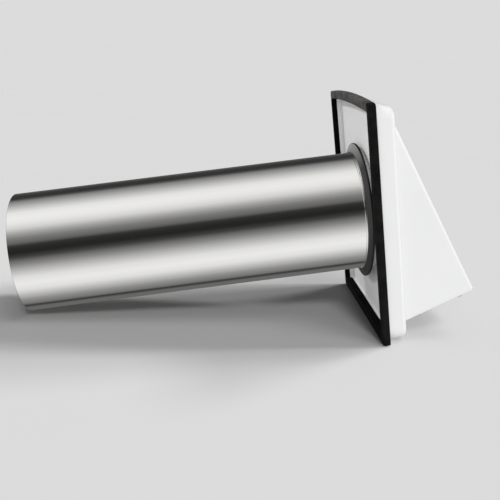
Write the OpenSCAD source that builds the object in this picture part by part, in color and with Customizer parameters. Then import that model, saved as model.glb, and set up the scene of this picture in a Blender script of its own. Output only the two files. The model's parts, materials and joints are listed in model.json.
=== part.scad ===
// Through-wall vent cap: a steel duct tube, a shallow wall plate and a sloped
// hood that is open below. Millimetres, +Z up. X is the width, +Y runs along the
// duct into the wall and -Y is outdoors. The origin is on the duct's axis, at
// the wall-side face of the back plate.

/* [Duct] */
// Outer diameter of the duct tube
duct_d = 150; // [140:1:160]
// Wall of the duct tube
duct_t = 0.8; // [0.6:0.1:1.5]
// Reach of the tube from the back plate to its free end
duct_reach = 441.5; // [120:0.5:600]
/* [Wall frame] */
// Width of the frame that meets the wall
frame_w = 236; // [230:1:300]
// Bottom edge of the frame, below the duct's axis
frame_low = 142; // [138:1:180]
// Top corners of the frame, above the duct's axis
frame_high = 146; // [140:1:180]
// Rise of the arched top edge above its corners
arch_rise = 6; // [2:1:20]
// Width of the foam strip
gasket_w = 11; // [9:0.5:16]
// Thickness of the foam strip, not yet pressed down
gasket_t = 8.5; // [5:0.5:12]
/* [Hood] */
// Depth of the rim, from the foam strip to its flat front
rim_depth = 21.5; // [16:0.5:40]
// Radius of the rim's corners
corner_r = 20; // [10:1:30]
// Radius of the rim's front edge
edge_r = 5; // [3:0.5:8]
// Width of the sloped hood
hood_w = 220; // [200:1:224]
// Height at which the slope leaves the rim
hood_top = 122; // [100:1:124]
// Reach of the hood's lip in front of the rim
hood_reach = 85.5; // [60:0.5:110]
// Height of the hood's lip, below the duct's axis
lip_drop = 88.5; // [70:0.5:95]
// Height at which the open mouth meets the rim, below the duct's axis
mouth_drop = 117.5; // [112:0.5:120]
// Hood sheet thickness
sheet = 1; // [0.8:0.1:1.5]
/* [Damper] */
// Diameter of the opening that the flap closes
seat_d = 144; // [136:1:146]
// Opening angle shown
flap_open = 0; // [0:1:28]
/* [Bird guard] */
// Distance between the wires of the mesh
wire_pitch = 12.5; // [10:0.5:20]
// Wire diameter
wire_d = 1.6; // [1.2:0.1:2.4]
/* [Hidden] */

$fn = 96;
eps = 0.05;
duct_r = duct_d / 2;
duct_bore = duct_r - duct_t;

// Layers from the wall side (+Y) to the outdoor side (-Y)
plate_t = 1.2;
tray_wall = 6.5;
flange_y = 4;
gasket_y = flange_y + gasket_t;
rim_front = flange_y - rim_depth;
lip_depth = 7;

// Insets from the foam strip's outline
rim_inset = 2;
tray_inset = gasket_w;

// Arched outline: a rectangle whose top edge is an arc of a large circle
half_w = frame_w / 2;
arch_r = (pow(half_w, 2) + pow(arch_rise, 2)) / (2 * arch_rise);
arch_z = frame_high + arch_rise - arch_r;
corner_steps = 8;
arch_steps = 24;

function arc(cx, cz, r, from, to, steps) =
    [for (i = [0:steps]) let (a = from + (to - from) * i / steps) [cx + r * cos(a), cz + r * sin(a)]];

// The frame's outline, moved inwards by inset, with its corners rounded to r
function frame_outline(inset, r) =
    let (cx = half_w - inset - r,
         cz_top = arch_z + sqrt(pow(arch_r - inset - r, 2) - pow(cx, 2)),
         cz_low = inset + r - frame_low,
         lean = atan2(cz_top - arch_z, cx))
    concat(
        arc(cx, cz_top, r, 0, lean, corner_steps),
        arc(0, arch_z, arch_r - inset, lean, 180 - lean, arch_steps),
        arc(-cx, cz_top, r, 180 - lean, 180, corner_steps),
        arc(-cx, cz_low, r, 180, 270, corner_steps),
        arc(cx, cz_low, r, 270, 360, corner_steps));

// Extrudes an outline drawn in X and Z from y0 to y1
module slab(y0, y1) {
    translate([0, y1, 0]) rotate([90, 0, 0]) linear_extrude(y1 - y0) children();
}

// Extrudes a profile drawn in Y and Z along X, from x0 to x1
module along_x(x0, x1) {
    translate([x0, 0, 0]) rotate([90, 0, 90]) linear_extrude(x1 - x0) children();
}

// Turns a profile of radius and Y about the duct's axis
module turned() {
    rotate([-90, 0, 0]) rotate_extrude($fn = 144) children();
}

// A straight round bar along X
module bar_x(r, x0, x1, y, z) {
    translate([x0, y, z]) rotate([0, 90, 0]) cylinder(r = r, h = x1 - x0, $fn = 32);
}

// Duct tube, with a rolled stop bead at the wall
bead_y = gasket_y - 0.1;
bead_w = 2.6;
bead_h = 1;
module duct_tube() {
    bead_arc = [for (i = [0:8]) let (a = 180 * i / 8)
        [duct_r + bead_h * sin(a), bead_y + bead_w * (1 - cos(a)) / 2]];
    groove_arc = [for (i = [0:8]) let (a = 180 - 180 * i / 8)
        [duct_bore + bead_h * sin(a), bead_y + bead_w * (1 - cos(a)) / 2]];
    color("silver") turned() polygon(concat(
        [[duct_bore, -plate_t], [duct_r, -plate_t]],
        bead_arc,
        [[duct_r, duct_reach - 0.3], [duct_r - 0.3, duct_reach], [duct_bore, duct_reach]],
        groove_arc));
}

// Ring of angle section, spot-welded inside the tube's end. Its flange is clamped to the plate
flange_r = duct_r + 7;
ring_front = -plate_t - duct_t;
ring_depth = 11;
module duct_ring() {
    ring_bore = duct_bore - duct_t;
    fold = 0.6;
    color("silver") turned() polygon([
        [ring_bore + fold, ring_front], [flange_r, ring_front], [flange_r, -plate_t],
        [duct_bore, -plate_t], [duct_bore, ring_depth], [ring_bore, ring_depth],
        [ring_bore, ring_front + fold]]);
}

// Back plate: a folded tray with a plunged neck round the duct
neck_r = duct_r + plate_t;
neck_h = 6;
hole_x = 92;
hole_z = 58;
hole_r = 2.75;
tab_x = 70;
tab_w = 16;
module back_plate() {
    tray = frame_outline(tray_inset, 5);
    tray_inside = frame_outline(tray_inset + plate_t, 4);
    tab_top = frame_high - tray_inset + arch_rise + 1;
    color("gainsboro") difference() {
        union() {
            slab(-plate_t, 0) polygon(tray);
            slab(-eps, tray_wall) difference() {
                polygon(tray);
                polygon(tray_inside);
            }
            turned() translate([duct_r, -plate_t]) square([plate_t, neck_h + plate_t]);
            for (side = [-1, 1]) translate([side * tab_x - tab_w / 2, 0, tab_top - 6])
                cube([tab_w, plate_t, 6]);
        }
        rotate([-90, 0, 0]) translate([0, 0, -plate_t - 1]) cylinder(r = duct_r, h = plate_t + neck_h + 2, $fn = 144);
        for (x = [-hole_x, hole_x], z = [-hole_z, hole_z])
            translate([x, 1, z]) rotate([90, 0, 0]) cylinder(r = hole_r, h = plate_t + 2, $fn = 32);
    }
}

// Rubber collar on the neck, tapered towards the wall and snug on the tube
seal_r = 88.5;
seal_edge = 6.6;
seal_nose = gasket_y - 0.5;
module duct_seal() {
    color("dimgray") turned() polygon([
        [neck_r, 0], [seal_r, 0], [seal_r, seal_edge - 1.2], [seal_r - 0.4, seal_edge - 0.4],
        [seal_r - 1.3, seal_edge], [neck_r + 2.6, seal_nose - 0.9], [neck_r + 1, seal_nose - 0.1],
        [duct_r + 0.9, seal_nose], [duct_r, seal_nose - 0.8], [duct_r, neck_h], [neck_r, neck_h]]);
}

// Foam strip round the frame, with softened edges
module wall_gasket() {
    soft = 1.5;
    module ring(grow) {
        difference() {
            polygon(frame_outline(grow, 4));
            polygon(frame_outline(gasket_w - grow, 3));
        }
    }
    color("black") union() {
        slab(flange_y, gasket_y - soft) ring(0);
        slab(gasket_y - soft - eps, gasket_y - soft / 3) ring(soft / 3);
        slab(gasket_y - soft / 3 - eps, gasket_y) ring(soft);
    }
}

// Hood: side profile of the sloped part, in Y and Z
lip_tip = [rim_front - hood_reach, -lip_drop];
mouth_back = [rim_front, -mouth_drop];
bend_r = 4;
mouth_tilt = atan2(mouth_drop - lip_drop, hood_reach);
mouth_len = norm(lip_tip - mouth_back);
slope = atan2(hood_reach, hood_top + lip_drop);

// Centre of a bend of radius bend_r in the corner between slope and mouth
corner_angle = 90 - slope + mouth_tilt;
bend_back = bend_r / tan(corner_angle / 2);
bend_centre = lip_tip + bend_back * [sin(slope), cos(slope)] + bend_r * [cos(slope), -sin(slope)];
// The same distance inside the slope and inside the mouth, behind the rim's front
root_y = rim_front + bend_r + 0.5;
root_top = [root_y, bend_centre.y + (root_y - bend_centre.x) / tan(slope)];
root_low = [root_y, bend_centre.y - (root_y - bend_centre.x) * tan(mouth_tilt)];

// Places its children on the mouth: -Y runs outwards along it, +Z points into the hood
module at_mouth() {
    translate([0, mouth_back.x, mouth_back.y]) rotate([-mouth_tilt, 0, 0]) children();
}

// Full form of the sloped part with its folds rounded to r. Each ball is turned and
// enlarged so that its flats lie on the mouth and on the sides
ball_steps = 24;
module wedge(r) {
    hull() for (side = [-1, 1], p = [bend_centre, root_top, root_low])
        translate([side * (hood_w / 2 - bend_r), p.x, p.y]) rotate([-mouth_tilt, 0, 0])
            sphere(r = r / cos(180 / ball_steps), $fn = ball_steps);
}

// Full form of the rim, from back to its rounded front edge
module rim(inset, back, front, edge) {
    steps = 5;
    hull() {
        slab(front + edge, back) polygon(frame_outline(inset, corner_r - inset));
        for (i = [1:steps]) let (a = 90 * i / steps)
            slab(front + edge * (1 - sin(a)), front + edge * (1 - sin(a)) + eps)
                polygon(frame_outline(inset + edge * (1 - cos(a)), corner_r - inset - edge * (1 - cos(a))));
    }
}

hood_screw_x = 60;
hood_screw_y = -8.8;
rim_low = -frame_low + rim_inset;
mouth_flange = 8;
guard_screw_x = hood_w / 2 - 6.5;
guard_screw_s = [18, mouth_len - 18];
module hood_shell() {
    color("white") difference() {
        union() {
            rim(rim_inset, flange_y, rim_front, edge_r);
            wedge(bend_r);
        }
        rim(rim_inset + sheet, flange_y - sheet, rim_front + sheet, edge_r - sheet);
        wedge(bend_r - sheet);
        slab(flange_y - sheet - 1, flange_y + 1) polygon(frame_outline(tray_inset, 5));
        at_mouth() translate([mouth_flange - hood_w / 2, mouth_flange - mouth_len, -1])
            cube([hood_w - 2 * mouth_flange, mouth_len - mouth_flange - 5, 4]);
        for (side = [-1, 1]) {
            translate([side * hood_screw_x, hood_screw_y, rim_low - 1]) cylinder(r = 2.25, h = 3, $fn = 32);
            for (s = guard_screw_s) at_mouth() translate([side * guard_screw_x, -s, -1])
                cylinder(r = 1.8, h = 3, $fn = 32);
        }
    }
    color("white") slab(flange_y - lip_depth, flange_y - sheet + eps) difference() {
        polygon(frame_outline(tray_inset - sheet, 6));
        polygon(frame_outline(tray_inset, 5));
        for (side = [-1, 1]) translate([side * tab_x - tab_w / 2 - 0.5, frame_high - tray_inset - 6])
            square([tab_w + 1, 16]);
    }
}

// Damper frame: pressed ring that clamps the duct ring's flange, with two hinge ears
axis_y = -7.6;
axis_z = 86;
ear_x = 54;
ear_t = 1.5;
bush_r = 2.5;
pin_r = 1.5;
frame_front = -plate_t - 1.2;
seat_front = ring_front - 1.2;
seat_r = seat_d / 2;
module damper_frame() {
    color("silver") difference() {
        union() {
            turned() polygon([
                [92, -plate_t], [92, frame_front], [flange_r + 1.6, frame_front],
                [flange_r + 0.8, seat_front], [seat_r, seat_front], [seat_r, ring_front],
                [flange_r + 0.2, ring_front], [flange_r + 1, -plate_t]]);
            slab(frame_front, -plate_t) difference() {
                translate([-ear_x - ear_t, 60]) square([2 * (ear_x + ear_t), 33.5]);
                circle(r = flange_r + 1.2, $fn = 144);
            }
            for (side = [-1, 1]) translate([side > 0 ? ear_x : -ear_x - ear_t, 0, 0]) along_x(0, ear_t)
                polygon([[-plate_t, 77], [frame_front, 77], [-9.5, 80.5], [-11, 82.5], [-11.6, 85],
                    [-11.6, 87.5], [-11, 90], [-9.6, 92], [-7.6, 93], [-plate_t, 93.5]]);
        }
        bar_x(bush_r, -ear_x - 3, ear_x + 3, axis_y, axis_z);
    }
}

// Soft ring between the frame and the flap
module flap_seal() {
    color("dimgray") turned() translate([seat_r + 0.6, seat_front - 1.8]) square([5.4, 1.8]);
}

// Flap: a pressed disc with a stiffening bead, curled round its pin at the top
flap_t = 0.8;
flap_r = 80;
flap_back = seat_front - 2.1;
curl_r = pin_r + flap_t;
knuckle = [34, 52];
module about_hinge(angle) {
    translate([0, axis_y, axis_z]) rotate([-angle, 0, 0]) translate([0, -axis_y, -axis_z]) children();
}
module damper_flap() {
    bead_in = 56;
    bead_out = 64;
    rise = 1.6;
    color("silver") about_hinge(flap_open) difference() {
        union() {
            turned() polygon([
                [0, flap_back], [bead_in, flap_back], [bead_in + 2, flap_back - rise],
                [bead_out - 2, flap_back - rise], [bead_out, flap_back], [flap_r, flap_back],
                [flap_r, flap_back - flap_t], [bead_out + 0.4, flap_back - flap_t],
                [bead_out - 1.6, flap_back - rise - flap_t], [bead_in + 1.6, flap_back - rise - flap_t],
                [bead_in - 0.4, flap_back - flap_t], [0, flap_back - flap_t]]);
            for (side = [-1, 1]) {
                x0 = side > 0 ? knuckle[0] : -knuckle[1];
                x1 = side > 0 ? knuckle[1] : -knuckle[0];
                slab(flap_back - flap_t, flap_back) translate([x0, 58]) square([x1 - x0, axis_z - 58]);
                bar_x(curl_r, x0, x1, axis_y, axis_z);
            }
        }
        bar_x(pin_r, -ear_x, ear_x, axis_y, axis_z);
    }
}

// Hinge pin: fixed in the flap's curls, turning in the two bushes
pin_reach = ear_x + ear_t + 4;
module hinge_pin() {
    color("silver") bar_x(pin_r, -pin_reach, pin_reach, axis_y, axis_z);
}

// Push-on clips that keep the pin in the bushes
module pin_clips() {
    color("gray") for (side = [-1, 1]) difference() {
        x0 = side * (ear_x + ear_t + 2.6) - 0.3;
        bar_x(3.6, x0, x0 + 0.6, axis_y, axis_z);
        bar_x(pin_r, x0 - 1, x0 + 1.6, axis_y, axis_z);
    }
}

// Flanged plastic bush in a hinge ear, drawn for the +X side
module bush() {
    color("whitesmoke") difference() {
        union() {
            bar_x(bush_r, ear_x - 0.5, ear_x + ear_t + 1.4, axis_y, axis_z);
            bar_x(3.8, ear_x - 1, ear_x, axis_y, axis_z);
        }
        bar_x(pin_r + 0.06, ear_x - 2, ear_x + ear_t + 3, axis_y, axis_z);
    }
}
module bush_right() { bush(); }
module bush_left() { mirror([1, 0, 0]) bush(); }

// Rubber buffer inside the sloped front, where the open flap lands
pad_r = 7;
pad_t = 4;
pad_x = 38;
pad_z = -48;
module stop_pad(x) {
    pad_y = lip_tip.x + (pad_z + lip_drop) * tan(slope) + sheet / cos(slope);
    color("black") translate([x, pad_y, pad_z]) rotate([-slope - 90, 0, 0]) difference() {
        cylinder(r = pad_r, h = pad_t);
        translate([0, 0, pad_t - 1.5]) cylinder(r = 3, h = 2);
    }
}
module stop_pad_left() { stop_pad(-pad_x); }
module stop_pad_right() { stop_pad(pad_x); }

// Bird guard: wire mesh welded to a flat frame that lies on the mouth's folded edge
guard_edge = 9.5;
guard_w = hood_w - 2 * (bend_r + 0.4);
guard_from = 1;
guard_to = mouth_len - bend_r - 1.2;
wire_sink = 0.2;
module bird_guard() {
    wire_r = wire_d / 2;
    low_z = 2 * sheet + wire_r - wire_sink;
    high_z = low_z + wire_d - wire_sink;
    across = floor((guard_to - guard_from - guard_edge) / wire_pitch);
    along = floor((guard_w - guard_edge) / wire_pitch);
    mid = (guard_from + guard_to) / 2;
    color("silver") at_mouth() {
        difference() {
            translate([-guard_w / 2, -guard_to, sheet]) cube([guard_w, guard_to - guard_from, sheet]);
            translate([guard_edge - guard_w / 2, guard_edge - guard_to, sheet - 1])
                cube([guard_w - 2 * guard_edge, guard_to - guard_from - 2 * guard_edge, sheet + 2]);
            for (side = [-1, 1], s = guard_screw_s)
                translate([side * guard_screw_x, -s, sheet - 1]) cylinder(r = 1.5, h = 4, $fn = 32);
        }
        for (i = [0:across - 1]) translate([4 - guard_w / 2, -mid - (i - (across - 1) / 2) * wire_pitch, low_z])
            rotate([0, 90, 0]) cylinder(r = wire_r, h = guard_w - 8, $fn = 16);
        for (i = [0:along - 1]) translate([(i - (along - 1) / 2) * wire_pitch, -guard_from - 4, high_z])
            rotate([90, 0, 0]) cylinder(r = wire_r, h = guard_to - guard_from - 8, $fn = 16);
    }
}

// Pan-head screw along +Z, its head below z = 0
module pan_screw(shank_r, shank, head_r, head_h) {
    difference() {
        union() {
            cylinder(r = shank_r, h = shank, $fn = 32);
            translate([0, 0, -head_h]) cylinder(r1 = head_r * 0.8, r2 = head_r, h = head_h, $fn = 32);
        }
        for (turn = [0, 90]) rotate([0, 0, turn])
            translate([-head_r * 0.55, -0.35, -head_h - 0.1]) cube([head_r * 1.1, 0.7, head_h * 0.6]);
    }
}
module guard_screws() {
    color("silver") for (side = [-1, 1], s = guard_screw_s)
        at_mouth() translate([side * guard_screw_x, -s, 0]) pan_screw(1.5, 6, 2.9, 1.9);
}

// Folded bracket from the back plate to the underside of the rim
bracket_w = 18;
bracket_t = 1.5;
bracket_top = -97;
joggle_top = -121;
joggle_low = -126;
foot_back = -3.6;
foot_front = rim_front + edge_r + 0.1;
module bracket(x) {
    floor_z = rim_low + sheet;
    weld_y = -plate_t;
    mitre = 0.8;
    color("silver") difference() {
        along_x(x - bracket_w / 2, x + bracket_w / 2) polygon([
            [weld_y, bracket_top], [weld_y, joggle_top], [foot_back, joggle_low], [foot_back, floor_z],
            [foot_front, floor_z], [foot_front, floor_z + bracket_t],
            [foot_back - bracket_t, floor_z + bracket_t], [foot_back - bracket_t, joggle_low + mitre],
            [weld_y - bracket_t, joggle_top + mitre], [weld_y - bracket_t, bracket_top]]);
        translate([x, hood_screw_y, floor_z - 1]) cylinder(r = 3, h = 4, $fn = 32);
    }
}
module bracket_left() { bracket(-hood_screw_x); }
module bracket_right() { bracket(hood_screw_x); }

// Rivet nuts in the brackets' feet
module rivet_nuts() {
    floor_z = rim_low + sheet;
    color("gray") for (side = [-1, 1]) translate([side * hood_screw_x, hood_screw_y, floor_z]) difference() {
        union() {
            cylinder(r = 3, h = 7.5, $fn = 32);
            translate([0, 0, bracket_t]) cylinder(r = 3.4, h = 1.6, $fn = 32);
        }
        translate([0, 0, -1]) cylinder(r = 2, h = 10, $fn = 32);
    }
}

// Screws up through the rim into the rivet nuts
module hood_screws() {
    color("silver") for (side = [-1, 1]) translate([side * hood_screw_x, hood_screw_y, rim_low])
        pan_screw(2, 8, 3.8, 1.8);
}

duct_tube();
duct_ring();
duct_seal();
back_plate();
wall_gasket();
hood_shell();
damper_frame();
flap_seal();
damper_flap();
hinge_pin();
pin_clips();
bush_left();
bush_right();
stop_pad_left();
stop_pad_right();
bird_guard();
guard_screws();
bracket_left();
bracket_right();
rivet_nuts();
hood_screws();
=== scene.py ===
# %% [markdown]
# # A through-wall vent cap
# The real thing is a wall cap for a 150 mm duct: a long polished tube goes into the
# wall, a shallow tray with a strip of black foam meets the wall, and a white coated
# hood slopes down and out over the opening. The solids come ready made, as a fixed
# frame. This lesson gives them their finishes, and models the foam, the rubber parts
# and the coated hood again as finer meshes.

# %% Load the solids
import json
import math

import bmesh
import bpy
from mathutils import Euler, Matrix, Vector


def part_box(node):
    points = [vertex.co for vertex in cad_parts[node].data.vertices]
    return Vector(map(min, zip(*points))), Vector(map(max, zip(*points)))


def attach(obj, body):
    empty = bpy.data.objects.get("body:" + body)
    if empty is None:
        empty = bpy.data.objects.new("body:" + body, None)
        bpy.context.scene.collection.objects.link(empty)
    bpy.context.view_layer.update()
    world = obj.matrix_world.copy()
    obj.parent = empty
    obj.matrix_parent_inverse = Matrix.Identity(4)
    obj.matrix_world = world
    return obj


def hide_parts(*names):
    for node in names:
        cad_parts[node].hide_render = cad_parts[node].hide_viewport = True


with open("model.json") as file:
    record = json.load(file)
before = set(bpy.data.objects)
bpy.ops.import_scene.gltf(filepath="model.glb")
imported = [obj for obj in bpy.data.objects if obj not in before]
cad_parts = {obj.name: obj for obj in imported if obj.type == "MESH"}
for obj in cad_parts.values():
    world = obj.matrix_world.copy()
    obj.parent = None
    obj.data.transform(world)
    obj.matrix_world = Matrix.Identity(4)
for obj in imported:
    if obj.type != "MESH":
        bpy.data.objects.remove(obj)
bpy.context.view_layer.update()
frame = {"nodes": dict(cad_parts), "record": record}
bpy.context.scene.view_settings.view_transform = "Standard"
MM = 0.001

# %% [markdown]
# ## Camera
# The picture is a product shot from the tube's left side, a little from above. The
# lens is stated by its focal length in pixels on a frame of 500, which is how a camera
# is worked out from straight edges in a picture. A camera could also be turned to a
# target by a constraint, but a fixed place and turn give the same view every time.

# %% Camera
PICTURE = 500
FOCAL_PIXELS = 716.0
SENSOR = 36.0
VIEW_REACH = 200
camera_place = Vector((-899.6, 185.9, 229.5)) * MM
camera_turn = Euler([math.radians(angle) for angle in (73.487, 6.456, -93.897)], "XYZ")


def make_camera():
    """The scene's own camera, with its lens worked out from the picture."""
    lens = bpy.data.cameras.new("product_camera")
    lens.sensor_width = SENSOR
    lens.lens = FOCAL_PIXELS * SENSOR / PICTURE
    lens.clip_end = VIEW_REACH
    camera = bpy.data.objects.new("product_camera", lens)
    camera.location = camera_place
    camera.rotation_euler = camera_turn
    bpy.context.scene.collection.objects.link(camera)
    bpy.context.scene.camera = camera
    return camera


camera = make_camera()
print("lens in mm:", round(camera.data.lens, 2))

# %% [markdown]
# ## Floor
# The cap lies on its foam strip's foot and its tube's free end. The frame keeps the
# tube level, so here the floor is tilted about X until it meets both points. A plane is
# enough, because a studio floor is only seen as a surface. It reaches so far that its
# edge is lost in the backdrop of the same grey.

# %% Floor
FLOOR_SIZE = 120.0
strip_low, strip_high = [Vector(corner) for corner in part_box("wall_gasket")]
tube_points = [vertex.co for vertex in frame["nodes"]["duct_tube"].data.vertices]
tube_end = max(point.y for point in tube_points)
foot = Vector((0, strip_high.y, strip_low.z))
tail = Vector((0, tube_end, min(point.z for point in tube_points if point.y > tube_end - MM)))
floor_tilt = math.atan2(tail.z - foot.z, tail.y - foot.y)
floor_up = Vector((0, -math.sin(floor_tilt), math.cos(floor_tilt)))

bpy.ops.object.select_all(action="DESELECT")
bpy.ops.mesh.primitive_plane_add(size=FLOOR_SIZE, location=foot, rotation=(floor_tilt, 0, 0))
floor = bpy.context.object
floor.name = "floor"
floor.visible_glossy = False
print("floor tilt in degrees:", round(math.degrees(floor_tilt), 2))

# %% [markdown]
# ## Modelling helpers
# The next pieces are made as by hand: a primitive is added, then faces and edges are
# selected and extruded, inset, bevelled or spun. In code there is no mouse, so a face
# or an edge is picked by its place. These helpers do the picking, and hand a finished
# piece to the body that it moves with. Everything that is modelled here sits on the
# fixed body, because the flap stays as its solid is.

# %% Selecting helpers
def begin(active=None):
    """Goes to object mode with nothing selected but the given piece, if there is one."""
    if bpy.context.object and bpy.context.object.mode != "OBJECT":
        bpy.ops.object.mode_set(mode="OBJECT")
    bpy.ops.object.select_all(action="DESELECT")
    if active:
        active.select_set(True)
        bpy.context.view_layer.objects.active = active


def settle(name):
    """Names the new primitive and puts its place, turn and size into its mesh."""
    piece = bpy.context.object
    piece.name = piece.data.name = name
    bpy.ops.object.transform_apply(location=True, rotation=True, scale=True)
    return piece


def edit(piece):
    """Enters edit mode with the whole piece selected."""
    begin(piece)
    bpy.ops.object.mode_set(mode="EDIT")
    bpy.ops.mesh.select_mode(type="VERT")
    bpy.ops.mesh.select_all(action="SELECT")


def pick(kind, test):
    """Selects the vertices, edges or faces for which test is true, and counts them."""
    bpy.ops.mesh.select_mode(type=kind)
    bpy.ops.mesh.select_all(action="DESELECT")
    mesh = bmesh.from_edit_mesh(bpy.context.object.data)
    parts = {"VERT": mesh.verts, "EDGE": mesh.edges, "FACE": mesh.faces}[kind]
    found = [part for part in parts if test(part)]
    for part in found:
        part.select_set(True)
    mesh.select_flush_mode()
    bmesh.update_edit_mesh(bpy.context.object.data)
    return len(found)


def middle(edge):
    """The middle of an edge."""
    return (edge.verts[0].co + edge.verts[1].co) / 2


def near(value, wanted, room=0.05 * MM):
    """True where two lengths are the same, but for rounding."""
    return abs(value - wanted) < room


print("selecting helpers ready")

# %% Finishing helpers
SMOOTH_BELOW = math.radians(35)
SAME_PLACE = 0.002 * MM


def merge_doubles(piece):
    """Joins vertices that lie in the same place."""
    edit(piece)
    bpy.ops.mesh.remove_doubles(threshold=SAME_PLACE)
    begin(piece)


def hand_over(piece, node):
    """Turns the faces outwards, smooths, and puts the piece in its node's stead."""
    edit(piece)
    bpy.ops.mesh.normals_make_consistent(inside=False)
    begin(piece)
    bpy.ops.object.shade_smooth_by_angle(angle=SMOOTH_BELOW)
    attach(piece, "cap")
    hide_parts(node)
    low = [min(vertex.co[axis] for vertex in piece.data.vertices) / MM for axis in range(3)]
    high = [max(vertex.co[axis] for vertex in piece.data.vertices) / MM for axis in range(3)]
    print(piece.name, len(piece.data.polygons), "faces, mm:", [round(v, 1) for v in low + high])


print("pieces smooth below", round(math.degrees(SMOOTH_BELOW)), "degrees")


# %% [markdown]
# ## Foam strip
# The seal against the wall is self-adhesive foam, bought as a reel and cut into four
# bars that butt at the corners. The top bar follows the frame's low arch, and the near
# bar runs past it to the very top. A picture frame could be cut from one block, but
# separate bars show their joints as the real ones do. So three bars are cubes, trimmed
# by a bisect, and the arched bar is a section that is spun about the arch's centre.

# %% Foam strip sizes
BAR_WIDTH = 11 * MM
TOP_BAR_WIDTH = 10.5 * MM
NEAR_BAR_WIDTH = 12.5 * MM
LOW_BAR_WIDTH = 13.5 * MM
FRAME_HALF = strip_high.x
CORNER_HEIGHT = 145.6 * MM
ARCH_RISE = 4.0 * MM
EDGE_SOFTNESS = 1.3 * MM
SPARE = 6 * MM
ARCH_RADIUS = (FRAME_HALF**2 + ARCH_RISE**2) / (2 * ARCH_RISE)
ARCH_CENTRE = CORNER_HEIGHT + ARCH_RISE - ARCH_RADIUS
near_inner = -FRAME_HALF + NEAR_BAR_WIDTH
far_inner = FRAME_HALF - BAR_WIDTH
bar_top = strip_low.z + LOW_BAR_WIDTH


def arch_height(x, depth=0.0):
    """How high the arch is at x, or a line that runs a depth inside it."""
    return ARCH_CENTRE + math.sqrt((ARCH_RADIUS - depth) ** 2 - x**2)


print("arch radius in mm:", round(ARCH_RADIUS / MM), "crown:", round(arch_height(0) / MM, 1))


# %% Foam strip bars
def foam_block(name, low_x, high_x, low_z, high_z):
    """A straight bar, as a cube stretched to its size."""
    begin()
    centre = ((low_x + high_x) / 2, (strip_low.y + strip_high.y) / 2, (low_z + high_z) / 2)
    bpy.ops.mesh.primitive_cube_add(size=1, location=centre)
    depth = strip_high.y - strip_low.y
    bpy.ops.transform.resize(value=(high_x - low_x, depth, high_z - low_z))
    return settle(name)


def trim_along_arch(bar, from_x, to_x, depth):
    """Cuts the top of a bar off along the arch, or along a line inside it."""
    start = Vector((from_x, 0, arch_height(from_x, depth)))
    along = (Vector((to_x, 0, arch_height(to_x, depth))) - start).normalized()
    edit(bar)
    bpy.ops.mesh.bisect(plane_co=start, plane_no=(-along.z, 0, along.x), use_fill=True,
                        clear_outer=True)


def round_edges(bar, test, radius, segments):
    """Rounds the edges that test picks."""
    edit(bar)
    count = pick("EDGE", test)
    bpy.ops.mesh.bevel(offset=radius, segments=segments, affect="EDGES")
    begin(bar)
    return count


def soften_wall_edges(bar, skips):
    """Softens a bar's long edges on the wall side, and leaves its butt ends square."""
    def on_wall(edge):
        at_wall = all(near(vertex.co.y, strip_high.y) for vertex in edge.verts)
        return at_wall and not skips(middle(edge))
    return round_edges(bar, on_wall, EDGE_SOFTNESS, segments=3)


near_bar = foam_block("near_bar", -FRAME_HALF, near_inner, strip_low.z, CORNER_HEIGHT + SPARE)
trim_along_arch(near_bar, -FRAME_HALF, near_inner, 0)
far_bar = foam_block("far_bar", far_inner, FRAME_HALF, bar_top, CORNER_HEIGHT)
trim_along_arch(far_bar, far_inner, FRAME_HALF, TOP_BAR_WIDTH)
low_bar = foam_block("low_bar", near_inner, FRAME_HALF, strip_low.z, bar_top)
print("straight bars: 3")


# %% Foam strip arch
ARCH_STEPS = 24


def foam_arch(name):
    """The top bar: its section is spun past both ends, which are then cut square."""
    reach = math.asin((FRAME_HALF + SPARE) / ARCH_RADIUS)
    mid_radius = ARCH_RADIUS - TOP_BAR_WIDTH / 2
    mid_y = (strip_low.y + strip_high.y) / 2
    start = (-math.sin(reach) * mid_radius, mid_y, ARCH_CENTRE + math.cos(reach) * mid_radius)
    begin()
    bpy.ops.mesh.primitive_plane_add(size=1, location=start, rotation=(0, math.pi / 2 - reach, 0))
    bpy.context.object.scale = (TOP_BAR_WIDTH, strip_high.y - strip_low.y, 1)
    bar = settle(name)
    edit(bar)
    bpy.ops.mesh.spin(steps=ARCH_STEPS, angle=-2 * reach, center=(0, mid_y, ARCH_CENTRE),
                      axis=(0, 1, 0))
    for cut, outwards in ((near_inner, -1), (FRAME_HALF, 1)):
        bpy.ops.mesh.select_all(action="SELECT")
        bpy.ops.mesh.bisect(plane_co=(cut, 0, 0), plane_no=(outwards, 0, 0), use_fill=True,
                            clear_outer=True)
    bpy.ops.mesh.select_all(action="SELECT")
    bpy.ops.mesh.normals_make_consistent(inside=False)
    begin(bar)
    return bar


top_bar = foam_arch("top_bar")
top_span = [vertex.co.x / MM for vertex in top_bar.data.vertices]
print("top bar from", round(min(top_span), 1), "to", round(max(top_span), 1))


# %% Foam strip corners
CORNER_ROUND = 4 * MM
FOOT_ROUND = 1.5 * MM
LONG_EDGE = 5 * MM


def corner_at(x, z):
    """A test for the edge that runs along Y at a corner of the strip."""
    def test(edge):
        place = middle(edge)
        along_y = abs(edge.verts[0].co.y - edge.verts[1].co.y) > LONG_EDGE
        return along_y and near(place.x, x, 0.2 * MM) and near(place.z, z, 0.3 * MM)
    return test


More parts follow.
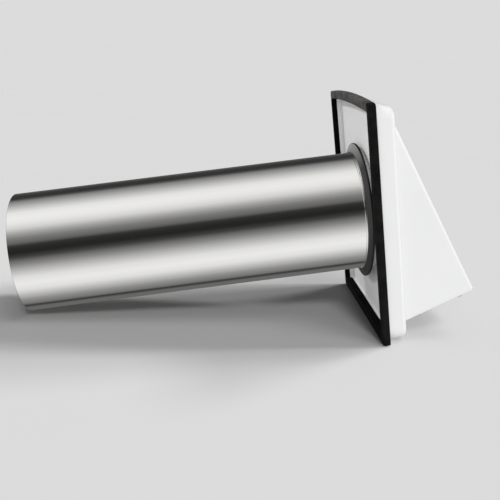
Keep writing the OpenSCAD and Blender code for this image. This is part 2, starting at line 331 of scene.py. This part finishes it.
corner_height = arch_height(FRAME_HALF)
rounded = [
    round_edges(near_bar, corner_at(-FRAME_HALF, corner_height), CORNER_ROUND, segments=5),
    round_edges(top_bar, corner_at(FRAME_HALF, corner_height), CORNER_ROUND, segments=5),
    round_edges(near_bar, corner_at(-FRAME_HALF, strip_low.z), FOOT_ROUND, segments=3),
    round_edges(low_bar, corner_at(FRAME_HALF, strip_low.z), FOOT_ROUND, segments=3),
    soften_wall_edges(near_bar, lambda place: False),
    soften_wall_edges(far_bar, lambda place: near(place.x, (far_inner + FRAME_HALF) / 2, MM)),
    soften_wall_edges(low_bar, lambda place: near(place.x, near_inner)),
    soften_wall_edges(top_bar, lambda place: near(place.x, near_inner)),
]
print("edges rounded:", rounded)

# %% [markdown]
# Light falls on the four bars at different angles, so they aren't equally black: the top bar's
# face catches the light, and the far and low bars lie in shade. That light and shade is painted
# into the foam's colour. A number stored on the mesh carries it from the bar to the material: 1
# is the palest, painted lit bar, and 0 the blackest, painted shaded one. Painting four materials
# would do it too, but one material with an attribute stays one finish. The bars are joined into
# one object, but their butt ends aren't merged, so that each stays a closed block.

# %% Foam strip joined
# Painted light and shade for each bar: 1 is painted lit and pale, 0 is painted shaded and black.
BAR_PAINTED_LIGHT = {near_bar: 0.08, far_bar: 0.0, low_bar: 0.0, top_bar: 1.0}
for bar, tone in BAR_PAINTED_LIGHT.items():
    values = bar.data.attributes.new("bar_painted_light", "FLOAT", "POINT").data
    values.foreach_set("value", [tone] * len(values))
begin(near_bar)
for bar in BAR_PAINTED_LIGHT:
    bar.select_set(True)
bpy.ops.object.join()
foam_strip = bpy.context.object
foam_strip.name = foam_strip.data.name = "foam_strip"
hand_over(foam_strip, "wall_gasket")

# %% [markdown]
# ## Rubber collar and soft ring
# Both seals are moulded rings. The collar grips the tube and lies on the tray: seen
# from the wall it is a cone that ends in a thin round lip with an undercut behind it.
# A ring could be a torus that is squeezed into shape, but a lathe is nearer to how its
# mould was turned: one vertex is pulled along the section, corner by corner, and the
# closed section is spun about the tube's axis. The collar is then turned by about one
# degree, because it was pushed on by hand and sits a little askew.

# %% A lathe for rings
CORNER_CLOSES = 0.01 * MM


def spun_ring(name, section, steps, softness):
    """Spins a closed section, given as (radius, y) corners in mm, about the Y axis."""
    begin()
    corners = [Vector((0, y * MM, radius * MM)) for radius, y in section]
    bpy.ops.mesh.primitive_plane_add(size=MM, location=corners[0])
    ring = settle(name)
    edit(ring)
    bpy.ops.mesh.merge(type="CENTER")
    for here, there in zip(corners, corners[1:] + corners[:1]):
        move = {"value": there - here}
        bpy.ops.mesh.extrude_region_move(TRANSFORM_OT_translate=move)
    bpy.ops.mesh.select_all(action="SELECT")
    bpy.ops.mesh.remove_doubles(threshold=CORNER_CLOSES)
    bpy.ops.mesh.select_all(action="SELECT")
    bpy.ops.mesh.bevel(offset=softness, segments=3, affect="VERTICES")
    bpy.ops.mesh.select_all(action="SELECT")
    bpy.ops.mesh.spin(steps=steps, angle=math.tau, center=(0, 0, 0), axis=(0, 1, 0))
    begin(ring)
    return ring


print("lathe ready")

# %% Rubber collar
COLLAR = [
    (76.2, 5.2), (86.2, 6.9), (86.6, 9.0), (77.6, 13.0), (75.0, 13.0), (75.0, 7.7), (76.2, 7.7),
]
COLLAR_TILT = -1.1
rubber_collar = spun_ring("rubber_collar", COLLAR, steps=128, softness=0.35 * MM)
edit(rubber_collar)
bpy.ops.transform.rotate(
    value=math.radians(COLLAR_TILT), orient_axis="X", orient_type="GLOBAL",
    center_override=(0, 0, 0))
merge_doubles(rubber_collar)
print("collar from y", round(min(v.co.y for v in rubber_collar.data.vertices) / MM, 2),
      "to", round(max(v.co.y for v in rubber_collar.data.vertices) / MM, 2))
hand_over(rubber_collar, "duct_seal")

# %% Soft ring on the flap's seat
seal_low, seal_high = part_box("flap_seal")
SOFT_RING = [
    (72.7, seal_high[1] / MM), (77.9, seal_high[1] / MM), (77.4, -4.3), (76.3, -4.95),
    (74.3, -4.95), (73.2, -4.3),
]
soft_ring = spun_ring("soft_ring", SOFT_RING, steps=96, softness=0.25 * MM)
merge_doubles(soft_ring)
hand_over(soft_ring, "flap_seal")

# %% [markdown]
# ## Buffers
# Two small rubber buffers inside the hood take the open flap. Each is a disc with a
# rounded rim and a hollow for the rivet that holds it. A lathe would do here too, but
# a cylinder is quicker: its face is inset and pushed in, and its rim is bevelled. The
# second one is a copy of the first, with a mesh of its own.

# %% Buffers
BUFFER_R = 7 * MM
BUFFER_T = 4 * MM
HOLLOW_R = 3 * MM
HOLLOW_DEPTH = 1.5 * MM
BUFFER_ROUND = 0.9 * MM
left_low, left_high = [Vector(corner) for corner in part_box("stop_pad_left")]
right_low, right_high = [Vector(corner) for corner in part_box("stop_pad_right")]
buffer_middle = (left_low + left_high) / 2
buffer_gap = (right_low.x + right_high.x - left_low.x - left_high.x) / 2
SLOPE = math.radians(22.1)
buffer_axis = Vector((0, math.cos(SLOPE), -math.sin(SLOPE)))


def make_buffer(name):
    """A disc with a round rim and a hollow in its face."""
    begin()
    bpy.ops.mesh.primitive_cylinder_add(vertices=48, radius=BUFFER_R, depth=BUFFER_T,
                                        location=buffer_middle,
                                        rotation=(-SLOPE - math.pi / 2, 0, 0))
    buffer = settle(name)
    edit(buffer)
    pick("FACE", lambda face: face.normal.dot(buffer_axis) > 0.99)
    bpy.ops.mesh.inset(thickness=BUFFER_R - HOLLOW_R)
    bpy.ops.mesh.extrude_region_move(
        TRANSFORM_OT_translate={"value": buffer_axis * -HOLLOW_DEPTH})
    face_at = BUFFER_T / 2

    def on_rims(edge):
        offsets = [vertex.co - buffer_middle for vertex in edge.verts]
        level = [offset.dot(buffer_axis) for offset in offsets]
        return all(near(value, face_at) for value in level) and not near(
            (offsets[0] - offsets[1]).length, BUFFER_R - HOLLOW_R, 0.5 * MM)

    pick("EDGE", on_rims)
    bpy.ops.mesh.bevel(offset=BUFFER_ROUND, segments=4, affect="EDGES")
    begin(buffer)
    return buffer


buffer_left = make_buffer("buffer_left")
begin(buffer_left)
bpy.ops.object.duplicate()
bpy.ops.transform.translate(value=(buffer_gap, 0, 0))
buffer_right = settle("buffer_right")
for piece, node in ((buffer_left, "stop_pad_left"), (buffer_right, "stop_pad_right")):
    merge_doubles(piece)
    hand_over(piece, node)

# %% [markdown]
# ## Coated hood
# The hood is one folded and welded sheet: a rim round the frame, two cheeks, a slope
# and a lip. The solid already has that form, so this piece starts as its copy, merged
# into one skin. On the real cap the rim's top falls towards the front, so that rain
# runs off, and it is flatter there than the arch at the wall. A resize could lower it
# by one factor only, so each vertex above the slope's root is moved by its own share.
# Then the normals are weighted by face area, so that flats stay flat and folds catch
# the light as one soft line.

# %% Coated hood
SLOPE_TOP = 122 * MM
RIM_FRONT_TOP = 140.4 * MM
RIM_BELOW_FOAM = 1.8 * MM
RIM_BAND = 8.8 * MM
SOLID_ARCH_RISE = 6 * MM
SOLID_RIM_INSET = 2 * MM
front_starts = seal_low[1]


def solid_arch(x):
    """The height of the solid frame's arch at x."""
    return strip_high.z - SOLID_ARCH_RISE * (x / FRAME_HALF) ** 2


def in_rim_band(place):
    """True on the rim's two walls, and false on the flange's edge that the tray hangs on."""
    return min(FRAME_HALF - abs(place.x), solid_arch(place.x) - place.z) < RIM_BAND


def rim_top(place):
    """How high the real rim's top is over a point of the solid one."""
    if place.y < front_starts:
        return RIM_FRONT_TOP
    return arch_height(place.x) - RIM_BELOW_FOAM


def make_hood_skin():
    """The hood as one merged skin, with its rim's top falling to the front."""
    begin()
    skin = bpy.data.objects.new("hood_skin", frame["nodes"]["hood_shell"].data.copy())
    bpy.context.scene.collection.objects.link(skin)
    skin.data.name = "hood_skin"
    merge_doubles(skin)
    edit(skin)
    count = pick("VERT", lambda vertex: vertex.co.z > SLOPE_TOP
                 and (vertex.co.y < front_starts or in_rim_band(vertex.co)))
    mesh = bmesh.from_edit_mesh(skin.data)
    for vertex in (vertex for vertex in mesh.verts if vertex.select):
        solid_top = solid_arch(vertex.co.x) - SOLID_RIM_INSET
        share = (rim_top(vertex.co) - SLOPE_TOP) / (solid_top - SLOPE_TOP)
        vertex.co.z = SLOPE_TOP + (vertex.co.z - SLOPE_TOP) * share
    bmesh.update_edit_mesh(skin.data)
    begin(skin)
    print("vertices lowered:", count)
    return skin


hood_skin = make_hood_skin()
merge_doubles(hood_skin)
hand_over(hood_skin, "hood_shell")
bpy.ops.object.modifier_add(type="WEIGHTED_NORMAL")
hood_skin.modifiers[-1].keep_sharp = True
bpy.ops.object.modifier_apply(modifier=hood_skin.modifiers[-1].name)

# %% [markdown]
# ## Node material helpers
# Every finish here is worked out from noise and cells on the object's own coordinates,
# so it needs no pictures and stays in place when the flap moves. A picture of steel
# would repeat and stretch. The helpers make a new material, place a pattern, and turn a
# pattern into a colour, a roughness or a relief.

# %% Node material helpers
def new_material(name):
    """A material with only its shader and output, and a short way to link nodes."""
    material = bpy.data.materials.new(name)
    material.use_nodes = True
    nodes = material.node_tree.nodes
    return material, nodes, material.node_tree.links.new, nodes["Principled BSDF"]


def shader_values(shader, **values):
    """Sets uniform values on the shader's own sockets."""
    for name, value in values.items():
        socket = shader.inputs[name.replace("_", " ")]
        socket.default_value = (*value, 1) if isinstance(value, tuple) else value


def object_place(nodes, link, stretch=(1, 1, 1)):
    """The object's own coordinates, each axis multiplied by its stretch."""
    place = nodes.new("ShaderNodeTexCoord")
    mapping = nodes.new("ShaderNodeMapping")
    mapping.inputs["Scale"].default_value = stretch
    link(place.outputs["Object"], mapping.inputs["Vector"])
    return mapping.outputs["Vector"]


def noise(nodes, link, scale, detail=3.0, stretch=(1, 1, 1)):
    """A soft random pattern; scale is in waves for each metre."""
    texture = nodes.new("ShaderNodeTexNoise")
    texture.inputs["Scale"].default_value = scale
    texture.inputs["Detail"].default_value = detail
    link(object_place(nodes, link, stretch), texture.inputs["Vector"])
    return texture.outputs["Fac"]


def cells(nodes, link, scale, output="Distance"):
    """A pattern of cells, as in foam or a zinc coat."""
    texture = nodes.new("ShaderNodeTexVoronoi")
    texture.inputs["Scale"].default_value = scale
    link(object_place(nodes, link), texture.inputs["Vector"])
    return texture.outputs[output]


def spread(nodes, link, source, low, high, from_low=0.3, from_high=0.7):
    """Maps a pattern's middle range to the values low and high."""
    fit = nodes.new("ShaderNodeMapRange")
    fit.inputs["From Min"].default_value = from_low
    fit.inputs["From Max"].default_value = from_high
    fit.inputs["To Min"].default_value = low
    fit.inputs["To Max"].default_value = high
    link(source, fit.inputs["Value"])
    return fit.outputs["Result"]


def tones(nodes, link, source, dark, light, low=0.35, high=0.65):
    """Mixes two near colours by a pattern."""
    ramp = nodes.new("ShaderNodeValToRGB")
    for element, position, colour in zip(ramp.color_ramp.elements, (low, high), (dark, light)):
        element.position = position
        element.color = (*colour, 1)
    link(source, ramp.inputs["Fac"])
    return ramp.outputs["Color"]


def relief(nodes, link, source, shader, depth, strength):
    """Raises the surface by a pattern, by a depth in metres."""
    raised = nodes.new("ShaderNodeBump")
    raised.inputs["Distance"].default_value = depth
    raised.inputs["Strength"].default_value = strength
    link(source, raised.inputs["Height"])
    link(raised.outputs["Normal"], shader.inputs["Normal"])


finishes = {}
print("helpers ready")

# %% [markdown]
# ## Polished steel
# The tube is rolled from bright sheet and polished along its length. It is a mirror
# with very fine lines that run with the tube, so a reflection is crisp along them and
# a little smeared across them. An anisotropic shader could smear it evenly; here a
# stretched noise varies the roughness, which also shows single lines up close.

# %% Polished steel
def polished_steel():
    """A mirror with fine lines along the tube."""
    material, nodes, link, shader = new_material("polished_steel")
    lines = noise(nodes, link, scale=900, detail=2, stretch=(1, 0.015, 1))
    patches = noise(nodes, link, scale=7, detail=3, stretch=(1, 0.3, 1))
    link(tones(nodes, link, patches, (0.865, 0.858, 0.835), (0.885, 0.880, 0.860)),
         shader.inputs["Base Color"])
    link(spread(nodes, link, lines, 0.07, 0.12), shader.inputs["Roughness"])
    relief(nodes, link, lines, shader, depth=0.02 * MM, strength=0.06)
    shader_values(shader, Metallic=1.0)
    return material


finishes["polished_steel"] = polished_steel()
print("polished steel done")

# %% [markdown]
# ## White coating
# The hood is powder coated. The powder melts into a satin skin with the faint waves
# that painters call orange peel. It is nearly even in colour, so most of its life is in
# the relief. Flake or dirt would be wrong on a new hood.

# %% White coating
def white_coating():
    """A satin white skin with orange peel."""
    material, nodes, link, shader = new_material("white_coating")
    peel = noise(nodes, link, scale=650, detail=2)
    patches = noise(nodes, link, scale=12, detail=2)
    link(tones(nodes, link, patches, (0.885, 0.887, 0.890), (0.900, 0.902, 0.904)),
         shader.inputs["Base Color"])
    link(spread(nodes, link, peel, 0.36, 0.44), shader.inputs["Roughness"])
    relief(nodes, link, peel, shader, depth=0.04 * MM, strength=0.2)
    return material


finishes["white_coating"] = white_coating()
print("white coating done")


# %% [markdown]
# ## Sheet metals
# The tray, the ring, the seat and the brackets are plain sheet. Rolled sheet has fine
# lines along its rolling direction and cloudy patches. Plated sheet also shows the
# crystals of its zinc, each a slightly different grey. One function makes them all,
# because only the colours, the shine and the crystals differ.

# %% Sheet metals
ROLLED = (0.04, 1, 1)


def sheet_metal(name, dark, light, roughness, metallic, crystals=0):
    """Sheet with rolling lines, and with clouds, or zinc crystals where asked."""
    material, nodes, link, shader = new_material(name)
    lines = noise(nodes, link, scale=500, detail=3, stretch=ROLLED)
    if crystals:
        grey = nodes.new("ShaderNodeRGBToBW")
        link(cells(nodes, link, crystals, "Color"), grey.inputs["Color"])
        link(tones(nodes, link, grey.outputs["Val"], dark, light, 0.2, 0.8),
             shader.inputs["Base Color"])
    else:
        patches = noise(nodes, link, scale=25, detail=4)
        link(tones(nodes, link, patches, dark, light), shader.inputs["Base Color"])
    link(spread(nodes, link, lines, roughness - 0.05, roughness + 0.06),
         shader.inputs["Roughness"])
    relief(nodes, link, lines, shader, depth=0.03 * MM, strength=0.2)
    shader_values(shader, Metallic=metallic)
    return material


finishes["plate_steel"] = sheet_metal(
    "plate_steel", (0.86, 0.862, 0.864), (0.88, 0.882, 0.884), roughness=0.5, metallic=0.0)
finishes["zinc_steel"] = sheet_metal(
    "zinc_steel", (0.50, 0.52, 0.54), (0.64, 0.66, 0.68), roughness=0.42, metallic=0.9,
    crystals=160)
finishes["flap_aluminium"] = sheet_metal(
    "flap_aluminium", (0.74, 0.75, 0.76), (0.80, 0.81, 0.82), roughness=0.35, metallic=1.0)
print("sheet metals done")

# %% [markdown]
# ## Wire, pin and fixings
# The pin and the guard's wires are drawn through a die, which leaves fine lines along
# them. Heads of screws and nuts are pressed and tumbled, so their marks have no
# direction. The pin's clips are blued spring steel, nearly black with a blue cast.

# %% Wire, pin and fixings
def small_metal(name, dark, light, roughness, stretch=(1, 1, 1)):
    """Bright metal with fine marks, which a stretch turns into drawn lines."""
    material, nodes, link, shader = new_material(name)
    marks = noise(nodes, link, scale=1400, detail=3, stretch=stretch)
    patches = noise(nodes, link, scale=90, detail=3)
    link(tones(nodes, link, patches, dark, light), shader.inputs["Base Color"])
    link(spread(nodes, link, marks, roughness - 0.05, roughness + 0.08),
         shader.inputs["Roughness"])
    relief(nodes, link, marks, shader, depth=0.02 * MM, strength=0.25)
    shader_values(shader, Metallic=1.0)
    return material


finishes["pin_steel"] = small_metal(
    "pin_steel", (0.62, 0.62, 0.62), (0.70, 0.70, 0.70), 0.22, (0.03, 1, 1))
finishes["guard_wire"] = small_metal("guard_wire", (0.56, 0.57, 0.58), (0.68, 0.69, 0.70), 0.3)
finishes["screw_steel"] = small_metal("screw_steel", (0.62, 0.62, 0.62), (0.72, 0.72, 0.72), 0.26)
finishes["nut_steel"] = small_metal("nut_steel", (0.52, 0.51, 0.45), (0.62, 0.60, 0.53), 0.36)
finishes["spring_steel"] = small_metal(
    "spring_steel", (0.07, 0.08, 0.11), (0.13, 0.13, 0.16), 0.32)
print("small metals done")

# %% [markdown]
# ## Foam, rubber and nylon
# Foam is a skinless block of closed cells, cut with a blade: small round hollows that
# drink the light. Moulded rubber is smoother and a little shiny where the mould was.
# Nylon is milky and lets some light in. The foam's colour also reads the number that each bar
# carries, which paints light and shade onto the bars.

# %% Foam
def foam():
    """Black foam with small hollows, with painted light and shade set by each bar's number."""
    material, nodes, link, shader = new_material("foam_rubber")
    hollows = cells(nodes, link, 900)
    patches = noise(nodes, link, scale=70, detail=4)
    # Painted light and shade: the bar's number mixes a painted shaded black with a painted lit
    # pale grey.
    tone = nodes.new("ShaderNodeAttribute")
    tone.attribute_name = "bar_painted_light"
    black = tones(nodes, link, patches, (0.002, 0.002, 0.002), (0.004, 0.004, 0.004))
    pale = tones(nodes, link, patches, (0.055, 0.054, 0.051), (0.110, 0.107, 0.101))
    blend = nodes.new("ShaderNodeMix")
    blend.data_type = "RGBA"
    link(tone.outputs["Fac"], blend.inputs["Factor"])
    link(black, blend.inputs["A"])
    link(pale, blend.inputs["B"])
    link(blend.outputs["Result"], shader.inputs["Base Color"])
    link(spread(nodes, link, hollows, 0.75, 0.95, 0.0, 0.6), shader.inputs["Roughness"])
    relief(nodes, link, hollows, shader, depth=0.25 * MM, strength=0.35)
    shader_values(shader, Specular_IOR_Level=0.05)
    return material


finishes["foam_rubber"] = foam()
print("foam done")


# %% [markdown]
# The collar's upper far side is painted pale, as a painted highlight where the light falls on the
# rubber. A gradient along a slanted line through the object's own coordinates places it, so it
# stays on the rubber from every side. The lip's outermost edge is painted black, as painted
# shade, and the distance from the tube's axis places that. Two materials could part the same two
# areas, but the painted highlight would then end in a hard line.

# %% Rubber and nylon
# Where the painted highlight grows, and where the lip's painted shade begins.
PAINTED_LIGHT_TOWARDS = Vector((0.55, 0.0, 0.83))
PAINTED_LIGHT_FROM = 25 * MM
PAINTED_LIGHT_TO = 80 * MM
LIP_PAINTED_SHADE_FROM = 85.6 * MM
LIP_PAINTED_SHADE_TO = 86.2 * MM
LIP_PAINTED_SHADE_COLOUR = (0.004, 0.004, 0.004)
ACROSS_TUBE = (1, 0, 1)


def moulded(name, dark, light, roughness, grain):
    """Rubber or plastic from a mould, with a fine grain and soft clouds."""
    material, nodes, link, shader = new_material(name)
    fine = noise(nodes, link, scale=grain, detail=3)
    patches = noise(nodes, link, scale=60, detail=3)
    link(tones(nodes, link, patches, dark, light), shader.inputs["Base Color"])
    link(spread(nodes, link, fine, roughness - 0.08, roughness + 0.08),
         shader.inputs["Roughness"])
    relief(nodes, link, fine, shader, depth=0.06 * MM, strength=0.3)
    return material


def rubber_with_painted_light(name, dark, pale):
    """Moulded rubber with painted light from dark to pale along a direction, and painted shade in
    black at the lip's edge.
    """
    material = moulded(name, dark, dark, roughness=0.42, grain=900)
    nodes, link = material.node_tree.nodes, material.node_tree.links.new
    along = nodes.new("ShaderNodeVectorMath")
    along.operation = "DOT_PRODUCT"
    along.inputs[1].default_value = PAINTED_LIGHT_TOWARDS
    link(object_place(nodes, link), along.inputs[0])
    # Painted highlight: the colour turns pale along the slanted direction.
    painted_highlight = spread(nodes, link, along.outputs["Value"], 0.0, 1.0, PAINTED_LIGHT_FROM, PAINTED_LIGHT_TO)
    radius = nodes.new("ShaderNodeVectorMath")
    radius.operation = "LENGTH"
    link(object_place(nodes, link, ACROSS_TUBE), radius.inputs[0])
    # Painted shade: the lip's outermost edge is coloured black.
    edge = spread(nodes, link, radius.outputs["Value"], 0.0, 1.0, LIP_PAINTED_SHADE_FROM, LIP_PAINTED_SHADE_TO)
    colour = nodes.new("ShaderNodeMix")
    colour.data_type = "RGBA"
    colour.inputs["B"].default_value = (*LIP_PAINTED_SHADE_COLOUR, 1)
    link(edge, colour.inputs["Factor"])
    link(tones(nodes, link, painted_highlight, dark, pale, 0.0, 1.0), colour.inputs["A"])
    shader = nodes["Principled BSDF"]
    link(colour.outputs["Result"], shader.inputs["Base Color"])
    shader_values(shader, Specular_IOR_Level=0.2)
    return material


# The collar: dark rubber with a painted highlight on its upper far side and painted shade at its
# lip's edge.
finishes["collar_rubber"] = rubber_with_painted_light(
    "collar_rubber", (0.042, 0.042, 0.043), (0.36, 0.357, 0.350))
finishes["seal_foam"] = moulded(
    "seal_foam", (0.05, 0.05, 0.05), (0.08, 0.08, 0.08), roughness=0.85, grain=1500)
finishes["buffer_rubber"] = moulded(
    "buffer_rubber", (0.03, 0.03, 0.03), (0.045, 0.045, 0.045), roughness=0.6, grain=900)
finishes["white_nylon"] = moulded(
    "white_nylon", (0.78, 0.77, 0.72), (0.82, 0.81, 0.77), roughness=0.45, grain=900)
shader_values(finishes["white_nylon"].node_tree.nodes["Principled BSDF"], Subsurface_Weight=0.15)
print("rubber and nylon done")

# %% [markdown]
# ## Hand the finishes out
# The record names one finish for each node. The finer pieces take the finish of the
# node that they stand for. In the picture the tube mirrors only the studio and not the
# tray behind it, as when a photographer holds a card there, so the parts round its end
# are hidden from mirror rays.

# %% Hand the finishes out
finish_of = {entry["node"]: entry["material_slot"] for entry in frame["record"]["subparts"]}
for node, finish in finish_of.items():
    for slot in frame["nodes"][node].material_slots:
        slot.material = finishes[finish]
finer_pieces = {
    "wall_gasket": foam_strip, "duct_seal": rubber_collar, "flap_seal": soft_ring,
    "stop_pad_left": buffer_left, "stop_pad_right": buffer_right, "hood_shell": hood_skin,
}
for node, piece in finer_pieces.items():
    piece.data.materials.clear()
    piece.data.materials.append(finishes[finish_of[node]])
for piece in (foam_strip, rubber_collar, hood_skin, frame["nodes"]["back_plate"]):
    piece.visible_glossy = False
print("finishes:", len(finishes), "finer pieces:", len(finer_pieces))

# %% [markdown]
# ## World
# A polished tube shows its surroundings, so the studio is laid out round the tube's
# axis: a long bright panel overhead, a bright table in front, and dark gaps between
# them. Mirror rays see this band of panels. Soft rays see a plain pale room, and the
# camera sees the backdrop. Real softboxes could stand there too, but they would also
# light the white hood more than is wanted.

# %% World
# Each pair is an angle round the tube in degrees, 0 towards the viewer and 90 up, and
# the brightness that a mirror shows there.
PANELS = [
    (-180, 0.14), (-122, 0.15), (-116, 0.05), (-110, 0.055), (-107, 0.17), (-90, 0.30),
    (-75, 0.56), (-62, 0.84), (-48, 0.94), (-34, 0.84), (-22, 0.58), (-8, 0.27),
    (1, 0.13), (5, 0.06), (14, 0.018), (22, 0.024), (28, 0.036), (32, 0.13), (42, 0.22),
    (52, 0.42), (62, 0.73), (74, 0.91), (84, 0.95), (96, 0.88), (108, 0.62), (120, 0.38),
    (131, 0.22), (135, 0.10), (142, 0.035), (158, 0.045), (172, 0.10), (180, 0.14),
]
BACKDROP = 0.716
ROOM = 0.50
FULL_TURN = 360


def band_of_panels(nodes, link):
    """The panels as a grey that depends on the direction round the Y axis."""
    direction = nodes.new("ShaderNodeTexCoord")
    parts = nodes.new("ShaderNodeSeparateXYZ")
    flip = nodes.new("ShaderNodeMath")
    flip.operation = "MULTIPLY"
    flip.inputs[1].default_value = -1
    turn = nodes.new("ShaderNodeMath")
    turn.operation = "ARCTAN2"
    place = nodes.new("ShaderNodeMapRange")
    place.inputs["From Min"].default_value = -math.pi
    place.inputs["From Max"].default_value = math.pi
    link(direction.outputs["Generated"], parts.inputs["Vector"])
    link(parts.outputs["X"], flip.inputs[0])
    link(parts.outputs["Z"], turn.inputs[0])
    link(flip.outputs["Value"], turn.inputs[1])
    link(turn.outputs["Value"], place.inputs["Value"])
    ramp = nodes.new("ShaderNodeValToRGB")
    stops = ramp.color_ramp.elements
    stops[0].position, stops[-1].position = 0, 1
    for stop, (angle, level) in zip(stops, (PANELS[0], PANELS[-1])):
        stop.color = (level, level, level, 1)
    for angle, level in PANELS[1:-1]:
        stops.new((angle - PANELS[0][0]) / FULL_TURN).color = (level, level, level, 1)
    link(place.outputs["Result"], ramp.inputs["Fac"])
    return ramp.outputs["Color"]


def make_world():
    """One world for three kinds of ray: camera, mirror and soft."""
    world = bpy.data.worlds.new("studio")
    world.use_nodes = True
    world.cycles.sampling_method = "NONE"
    nodes, link = world.node_tree.nodes, world.node_tree.links.new
    nodes.clear()
    path = nodes.new("ShaderNodeLightPath")
    room_or_panels = nodes.new("ShaderNodeMix")
    room_or_panels.data_type = "RGBA"
    room_or_panels.inputs["A"].default_value = (ROOM, ROOM, ROOM, 1)
    link(path.outputs["Is Glossy Ray"], room_or_panels.inputs["Factor"])
    link(band_of_panels(nodes, link), room_or_panels.inputs["B"])
    seen = nodes.new("ShaderNodeMix")
    seen.data_type = "RGBA"
    seen.inputs["B"].default_value = (BACKDROP, BACKDROP, BACKDROP, 1)
    link(path.outputs["Is Camera Ray"], seen.inputs["Factor"])
    link(room_or_panels.outputs["Result"], seen.inputs["A"])
    background = nodes.new("ShaderNodeBackground")
    output = nodes.new("ShaderNodeOutputWorld")
    link(seen.outputs["Result"], background.inputs["Color"])
    link(background.outputs["Background"], output.inputs["Surface"])
    bpy.context.scene.world = world


make_world()
print("panels:", len(PANELS))

# %% [markdown]
# ## Lamps
# Sun lamps light a floor evenly to its far edge, where an area lamp would leave a pool
# of light. The object and the floor have suns of their own, by light linking, because a
# product picture is often lit in two goes. Each floor sun is given by the share of the
# floor's brightness that it makes, so that all shares and the room add up to the
# backdrop's grey. The tube is left out of the cap's suns, because a mirror would show
# them as hard spots. The other parts get their edge highlights from them.
#
# The cap's key light is two suns in one place. The second one's shadows leave the tube
# out, which keeps the tray below the tube half lit, as a reflector would. The front,
# side and top suns are wide and weak, and shape the cheek, the rim and the folds. The
# first floor sun takes its shadow from the tube, the strip and the tray only, because
# the picture's shadow of the hood is that short.

# %% Lamps
# Each sun is the direction that it stands in, the angle in degrees that softens its
# shadows, and its strength, or its share of the floor's brightness.
FLOOR_GREY = 0.23
KEY = ((0.26, 0.70, 0.66), 4.0, 0.65)
FRONT = ((-0.50, -0.85, 0.15), 20.0, 1.1)
SIDE = ((-1.0, 0.15, 0.1), 20.0, 0.25)
TOP = ((-0.52, 0.05, 0.85), 30.0, 0.65)
FLOOR_SUNS = [
    ((0.38, -0.63, 0.67), 14.0, 0.136),
    ((0.08, -0.95, 0.29), 6.0, 0.115),
    ((0.22, -0.95, 0.24), 10.0, 0.121),
    ((-0.33, -0.40, 0.86), 28.0, 0.110),
    ((-0.73, -0.15, 0.66), 12.0, 0.119),
]


def make_sun(name, towards, softness, strength, receivers):
    """A sun that stands in a direction and lights only its receivers."""
    lamp = bpy.data.lights.new(name, "SUN")
    lamp.angle = math.radians(softness)
    lamp.energy = strength
    sun = bpy.data.objects.new(name, lamp)
    sun.rotation_euler = Vector(towards).to_track_quat("Z", "Y").to_euler()
    sun.light_linking.receiver_collection = receivers
    bpy.context.scene.collection.objects.link(sun)
    return sun


def all_but(name, *left_out):
    """A light-linking collection that stands for every object but these."""
    others = bpy.data.collections.new(name)
    for place, piece in enumerate(left_out):
        others.objects.link(piece)
        others.collection_objects[place].light_linking.link_state = "EXCLUDE"
    return others


print("cap suns:", len((KEY, FRONT, SIDE, TOP)) + 1, "floor suns:", len(FLOOR_SUNS))

# %% Suns in place
tube = frame["nodes"]["duct_tube"]
floor_only = bpy.data.collections.new("floor_only")
floor_only.objects.link(floor)
cap_only = all_but("cap_only", floor, tube)
make_sun("key_sun", *KEY, cap_only)
key_fill = make_sun("key_fill", *KEY, cap_only)
key_fill.light_linking.blocker_collection = all_but("no_tube_shadow", floor, tube)
make_sun("front_sun", *FRONT, cap_only)
make_sun("side_sun", *SIDE, cap_only)
make_sun("top_sun", *TOP, cap_only)
frame_shadow = bpy.data.collections.new("frame_shadow")
for piece in (tube, foam_strip, frame["nodes"]["back_plate"]):
    frame_shadow.objects.link(piece)
for index, (towards, softness, share) in enumerate(FLOOR_SUNS):
    height = Vector(towards).normalized().dot(floor_up)
    strength = share * math.pi / (FLOOR_GREY * height)
    floor_sun = make_sun(f"floor_sun_{index}", towards, softness, strength, floor_only)
    if index == 0:
        floor_sun.light_linking.blocker_collection = frame_shadow
    print("floor sun", index, "strength", round(strength, 2))
floor_level = FLOOR_GREY * ROOM + sum(share for towards, softness, share in FLOOR_SUNS)
print("floor level:", round(floor_level, 3), "backdrop:", BACKDROP)

# %% [markdown]
# ## Floor finish
# The floor is matt and pale with the faintest clouds. A picture of paper could be laid
# on it, but too much pattern would draw the eye from the object.

# %% Floor finish
CLOUD_DEPTH = 0.01


def floor_finish():
    """A matt floor with the faintest clouds."""
    material, nodes, link, shader = new_material("studio_floor")
    cloud = noise(nodes, link, scale=3.0, detail=4)
    darker = FLOOR_GREY * (1 - CLOUD_DEPTH)
    link(tones(nodes, link, cloud, (darker,) * 3, (FLOOR_GREY,) * 3),
         shader.inputs["Base Color"])
    shader_values(shader, Roughness=0.9, Specular_IOR_Level=0.0)
    return material


floor.data.materials.append(floor_finish())
print("floor done")
